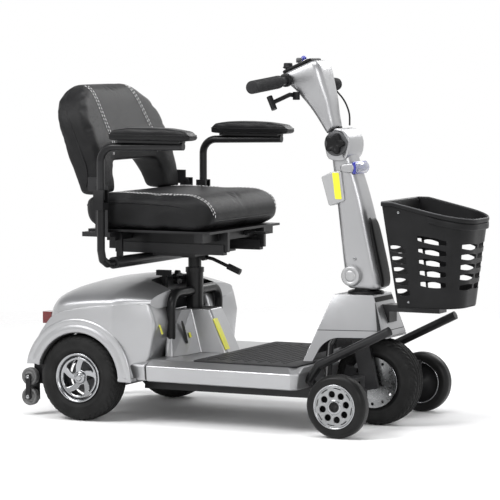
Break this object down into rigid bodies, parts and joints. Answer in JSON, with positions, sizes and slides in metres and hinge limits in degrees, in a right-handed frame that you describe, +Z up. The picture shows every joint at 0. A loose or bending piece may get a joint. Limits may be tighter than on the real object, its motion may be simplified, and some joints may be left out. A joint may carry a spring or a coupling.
{
  "type": "mobility scooter",
  "caption": "Battery mobility scooter with outrigger front wheels, adjustable tiller, front basket and a swivelling padded seat with folding backrest and flip-up armrests.",
  "frame": {"origin": "on the ground, below the middle of the whole machine", "axes": "+X forward, +Y to the rider's left, +Z up"},
  "size_m": [1.1697, 0.62, 0.918],
  "materials": {
    "frame_black": "satin black paint",
    "pad_black": "soft black pad skin",
    "seat_cover": "grained black seat cover",
    "black_plastic": "moulded black plastic",
    "battery_case": "sealed battery case",
    "disc_steel": "turned steel",
    "rim_silver": "painted cast alloy",
    "tyre_rubber": "black rubber",
    "mat_rubber": "ribbed rubber",
    "silver_body": "metallic silver paint on plastic",
    "dark_grey": "dark grey plastic",
    "grip_rubber": "soft rubber",
    "cable_black": "cable sheath",
    "lamp_clear": "clear lens",
    "post_steel": "satin black paint",
    "roller_plastic": "hard plastic",
    "small_wheel": "rubber tread on a plastic rim",
    "tail_red": "red lens",
    "gloss_black": "gloss black plastic",
    "cast_alloy": "cast alloy, unpainted"
  },
  "bodies": {
    "chassis": {"main_frame": "frame_black", "front_subframe": "frame_black", "anti_tip_frame": "frame_black", "transaxle": "cast_alloy", "battery_packs": "battery_case", "deck_tray": "silver_body", "deck_mat": "mat_rubber", "rear_cowl": "silver_body", "side_panel_right": "silver_body", "side_panel_left": "silver_body", "pedestal_cover": "silver_body", "tail_lights": "tail_red", "front_cover": "silver_body", "front_cover_panel": "dark_grey"},
    "steering": {"fork": "frame_black"},
    "knuckle_right": {"knuckle_right": "frame_black"},
    "knuckle_left": {"knuckle_left": "frame_black"},
    "front_wheel": {"centre_tyre": "tyre_rubber", "centre_rim": "rim_silver", "brake_disc": "disc_steel"},
    "small_wheel_right": {"small_wheel_right": "small_wheel"},
    "small_wheel_left": {"small_wheel_left": "small_wheel"},
    "rear_wheel_right": {"rear_tyre_right": "tyre_rubber", "rear_rim_right": "rim_silver"},
    "rear_wheel_left": {"rear_tyre_left": "tyre_rubber", "rear_rim_left": "rim_silver"},
    "roller_lower_right": {"roller_lower_right": "roller_plastic"},
    "roller_lower_left": {"roller_lower_left": "roller_plastic"},
    "roller_upper_right": {"roller_upper_right": "roller_plastic"},
    "roller_upper_left": {"roller_upper_left": "roller_plastic"},
    "tiller": {"tiller_column": "post_steel", "tiller_shell": "silver_body", "tiller_panel": "gloss_black", "tilt_barrel": "gloss_black", "headlamp": "lamp_clear", "stowage_box": "silver_body"},
    "head": {"head_shell": "silver_body", "handlebar": "frame_black", "handlebar_grips": "grip_rubber", "head_cable": "cable_black"},
    "drive_lever": {"drive_lever": "black_plastic"},
    "horn_button": {"horn_button": "black_plastic"},
    "speed_dial": {"speed_dial": "black_plastic"},
    "seat_column": {"seat_post": "post_steel"},
    "swivel": {"swivel_base": "frame_black"},
    "seat": {"seat_frame": "frame_black", "seat_cushion": "seat_cover"},
    "back": {"backrest": "seat_cover", "backrest_brackets": "frame_black"},
    "arm_post_right": {"arm_post_right": "frame_black"},
    "arm_post_left": {"arm_post_left": "frame_black"},
    "arm_right": {"arm_tube_right": "frame_black", "arm_pad_right": "pad_black"},
    "arm_left": {"arm_tube_left": "frame_black", "arm_pad_left": "pad_black"},
    "swivel_lever": {"swivel_lever": "black_plastic"},
    "slide_lever": {"slide_lever": "frame_black"},
    "post_knob": {"post_knob": "black_plastic"},
    "release_lever": {"release_lever": "black_plastic"},
    "basket": {"basket": "black_plastic"}
  },
  "joints": [
    {"name": "steer", "type": "hinge", "parent": "chassis", "child": "steering", "pos_m": [0.32269, 0, 0.11193], "axis": [-0.219, 0, 0.9757], "range_deg": [-25, 25]},
    {"name": "knuckle_right_turn", "type": "hinge", "parent": "chassis", "child": "knuckle_right", "pos_m": [0.3201, -0.228, 0.078], "axis": [0, 0, 1], "range_deg": [-25, 25]},
    {"name": "knuckle_left_turn", "type": "hinge", "parent": "chassis", "child": "knuckle_left", "pos_m": [0.3201, 0.228, 0.078], "axis": [0, 0, 1], "range_deg": [-25, 25]},
    {"name": "front_wheel_spin", "type": "hinge", "parent": "steering", "child": "front_wheel", "pos_m": [0.3141, 0, 0.11], "axis": [0, 1, 0], "continuous": true},
    {"name": "small_wheel_right_spin", "type": "hinge", "parent": "knuckle_right", "child": "small_wheel_right", "pos_m": [0.3201, -0.27, 0.078], "axis": [0, 1, 0], "continuous": true},
    {"name": "small_wheel_left_spin", "type": "hinge", "parent": "knuckle_left", "child": "small_wheel_left", "pos_m": [0.3201, 0.27, 0.078], "axis": [0, 1, 0], "continuous": true},
    {"name": "rear_wheel_right_spin", "type": "hinge", "parent": "chassis", "child": "rear_wheel_right", "pos_m": [-0.3949, -0.248, 0.11], "axis": [0, 1, 0], "continuous": true},
    {"name": "rear_wheel_left_spin", "type": "hinge", "parent": "chassis", "child": "rear_wheel_left", "pos_m": [-0.3949, 0.248, 0.11], "axis": [0, 1, 0], "continuous": true},
    {"name": "roller_lower_right_spin", "type": "hinge", "parent": "chassis", "child": "roller_lower_right", "pos_m": [-0.5619, -0.23, 0.048], "axis": [0, 1, 0], "continuous": true},
    {"name": "roller_upper_right_spin", "type": "hinge", "parent": "chassis", "child": "roller_upper_right", "pos_m": [-0.5619, -0.23, 0.1], "axis": [0, 1, 0], "continuous": true},
    {"name": "roller_lower_left_spin", "type": "hinge", "parent": "chassis", "child": "roller_lower_left", "pos_m": [-0.5619, 0.23, 0.048], "axis": [0, 1, 0], "continuous": true},
    {"name": "roller_upper_left_spin", "type": "hinge", "parent": "chassis", "child": "roller_upper_left", "pos_m": [-0.5619, 0.23, 0.1], "axis": [0, 1, 0], "continuous": true},
    {"name": "tiller_angle", "type": "hinge", "parent": "steering", "child": "tiller", "pos_m": [0.2581, 0, 0.375], "axis": [0, 1, 0], "range_deg": [-5, 4]},
    {"name": "head_tilt", "type": "hinge", "parent": "tiller", "child": "head", "pos_m": [0.2131, 0, 0.705], "axis": [0, 1, 0], "range_deg": [-6, 20]},
    {"name": "drive_lever_turn", "type": "hinge", "parent": "head", "child": "drive_lever", "pos_m": [0.1071, -0.051, 0.823], "axis": [0, 0, 1], "range_deg": [-15, 15], "stiffness_Nm_per_rad": 0.4},
    {"name": "horn_button_press", "type": "slide", "parent": "head", "child": "horn_button", "axis": [0, 0, 1], "range_m": [-0.002, 0], "stiffness_N_per_m": 150},
    {"name": "speed_dial_turn", "type": "hinge", "parent": "head", "child": "speed_dial", "pos_m": [0.0671, -0.014, 0.89], "axis": [0, 0, 1], "range_deg": [-120, 120]},
    {"name": "seat_height", "type": "slide", "parent": "chassis", "child": "seat_column", "axis": [0, 0, 1], "range_m": [0, 0.06]},
    {"name": "seat_swivel", "type": "hinge", "parent": "seat_column", "child": "swivel", "pos_m": [-0.2049, 0, 0.412], "axis": [0, 0, 1], "range_deg": [-90, 90]},
    {"name": "seat_slide", "type": "slide", "parent": "swivel", "child": "seat", "axis": [1, 0, 0], "range_m": [-0.04, 0.05]},
    {"name": "backrest_fold", "type": "hinge", "parent": "seat", "child": "back", "pos_m": [-0.3489, 0, 0.582], "axis": [0, 1, 0], "range_deg": [0, 90]},
    {"name": "arm_width_right", "type": "slide", "parent": "seat", "child": "arm_post_right", "axis": [0, -1, 0], "range_m": [0, 0.04]},
    {"name": "arm_flip_right", "type": "hinge", "parent": "arm_post_right", "child": "arm_right", "pos_m": [-0.3239, -0.285, 0.575], "axis": [0, 1, 0], "range_deg": [-95, 0]},
    {"name": "arm_width_left", "type": "slide", "parent": "seat", "child": "arm_post_left", "axis": [0, 1, 0], "range_m": [0, 0.04]},
    {"name": "arm_flip_left", "type": "hinge", "parent": "arm_post_left", "child": "arm_left", "pos_m": [-0.3239, 0.285, 0.575], "axis": [0, 1, 0], "range_deg": [-95, 0]},
    {"name": "swivel_lever_lift", "type": "hinge", "parent": "swivel", "child": "swivel_lever", "pos_m": [-0.1569, -0.04, 0.406], "axis": [0, 1, 0], "range_deg": [-10, 0], "stiffness_Nm_per_rad": 2, "springref_deg": 17.19},
    {"name": "slide_lever_lift", "type": "hinge", "parent": "seat", "child": "slide_lever", "pos_m": [-0.0729, 0.046, 0.468], "axis": [0, 1, 0], "range_deg": [-8, 0], "stiffness_Nm_per_rad": 2, "springref_deg": 17.19},
    {"name": "post_knob_turn", "type": "hinge", "parent": "chassis", "child": "post_knob", "pos_m": [-0.2609, 0, 0.349], "axis": [1, 0, 0], "continuous": true},
    {"name": "release_lever_throw", "type": "hinge", "parent": "chassis", "child": "release_lever", "pos_m": [-0.2609, -0.06, 0.19], "axis": [0, 1, 0], "range_deg": [0, 12]},
    {"name": "basket_lift", "type": "slide", "parent": "chassis", "child": "basket", "axis": [0, 0, 1], "range_m": [0, 0.12]}
  ],
  "couplings": [
    {"joint": "knuckle_right_turn", "follows": "steer", "ratio": 1},
    {"joint": "knuckle_left_turn", "follows": "steer", "ratio": 1}
  ]
}
